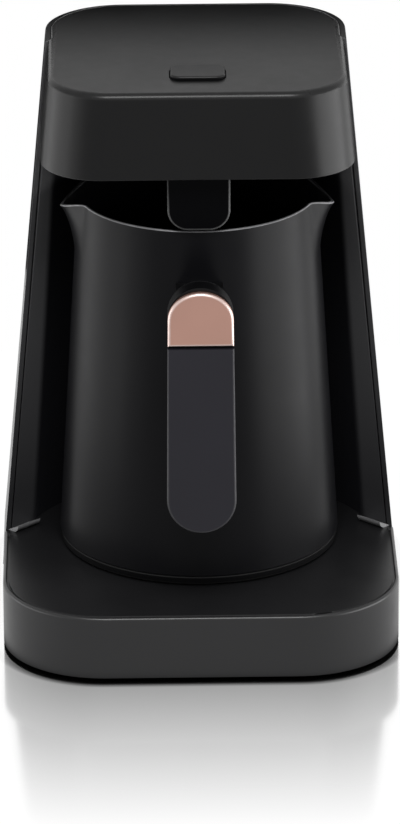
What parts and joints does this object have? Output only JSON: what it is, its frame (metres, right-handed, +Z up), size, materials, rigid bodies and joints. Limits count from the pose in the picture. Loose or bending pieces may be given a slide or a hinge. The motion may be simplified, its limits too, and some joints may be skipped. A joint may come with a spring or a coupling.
{
  "type": "electric turkish coffee maker",
  "caption": "Electric Turkish coffee maker with a low base, a tapered column, an overhanging head with a push button, and a removable jug with side beaks and a front handle.",
  "frame": {"origin": "on the table under the middle of the machine, which is also the axis of the jug", "axes": "+Z up, the front with the jug's handle faces -Y, +X is the right-hand side seen from the front"},
  "size_m": [0.1556, 0.17, 0.2304],
  "materials": {
    "base_plastic": "satin",
    "cover_plastic": "matte",
    "foot_rubber": "matte",
    "screw_steel": "satin",
    "plate_coating": "satin",
    "silicone": "matte",
    "tube_steel": "satin",
    "shield_steel": "satin",
    "thermostat_ceramic": "matte",
    "fuse_sleeve": "matte",
    "sensor_cap": "satin",
    "shell_plastic": "satin",
    "liner_plastic": "satin",
    "circuit_board": "satin",
    "relay_plastic": "satin",
    "transformer_tape": "satin",
    "terminal_plastic": "satin",
    "capacitor_coating": "gloss",
    "wire_sleeve": "matte",
    "bush_rubber": "matte",
    "head_plastic": "satin",
    "switch_plastic": "satin",
    "buzzer_plastic": "satin",
    "spring_steel": "satin",
    "button_plastic": "satin",
    "pod_plastic": "satin",
    "infrared_window": "gloss",
    "sensor_can": "satin",
    "jug_coating": "satin",
    "jug_foot_coating": "satin",
    "bracket_steel": "satin",
    "handle_plastic": "satin",
    "grip_plastic": "satin",
    "copper_finish": "satin"
  },
  "bodies": {
    "body": {"base_housing": "base_plastic", "bottom_cover": "cover_plastic", "rubber_feet": "foot_rubber", "cover_screws": "screw_steel", "heating_plate": "plate_coating", "plate_seal": "silicone", "heating_element": "tube_steel", "heat_shield": "shield_steel", "plate_screws": "screw_steel", "thermostat": "thermostat_ceramic", "thermal_fuse": "fuse_sleeve", "temperature_sensor": "sensor_cap", "outer_shell": "shell_plastic", "shell_screws": "screw_steel", "column_liner": "liner_plastic", "power_board": "circuit_board", "power_board_screws": "screw_steel", "relay": "relay_plastic", "power_transformer": "transformer_tape", "terminal_block": "terminal_plastic", "filter_capacitor": "capacitor_coating", "wiring_loom": "wire_sleeve", "cord_inlet_bush": "bush_rubber", "head_housing": "head_plastic", "head_bottom_cover": "cover_plastic", "head_screws": "screw_steel", "control_board": "circuit_board", "control_board_screws": "screw_steel", "button_switch": "switch_plastic", "buzzer": "buzzer_plastic", "button_spring": "spring_steel", "sensor_pod": "pod_plastic", "pod_screws": "screw_steel", "sensor_window": "infrared_window", "sensor_board": "circuit_board", "ir_sensor": "sensor_can"},
    "jug": {"jug_body": "jug_coating", "jug_base": "jug_foot_coating", "handle_bracket": "bracket_steel", "handle_core": "handle_plastic", "handle_grip": "grip_plastic", "handle_cap": "copper_finish", "handle_screw": "screw_steel"},
    "button": {"start_button": "button_plastic"}
  },
  "joints": [
    {"name": "jug_slide", "type": "slide", "parent": "body", "child": "jug", "axis": [0, -1, 0], "range_m": [0, 0.12]},
    {"name": "button_press", "type": "slide", "parent": "body", "child": "button", "axis": [0, 0, -1], "range_m": [0, 0.0012], "stiffness_N_per_m": 1200, "springref_m": -0.0005, "deforming": ["button_spring"]}
  ]
}
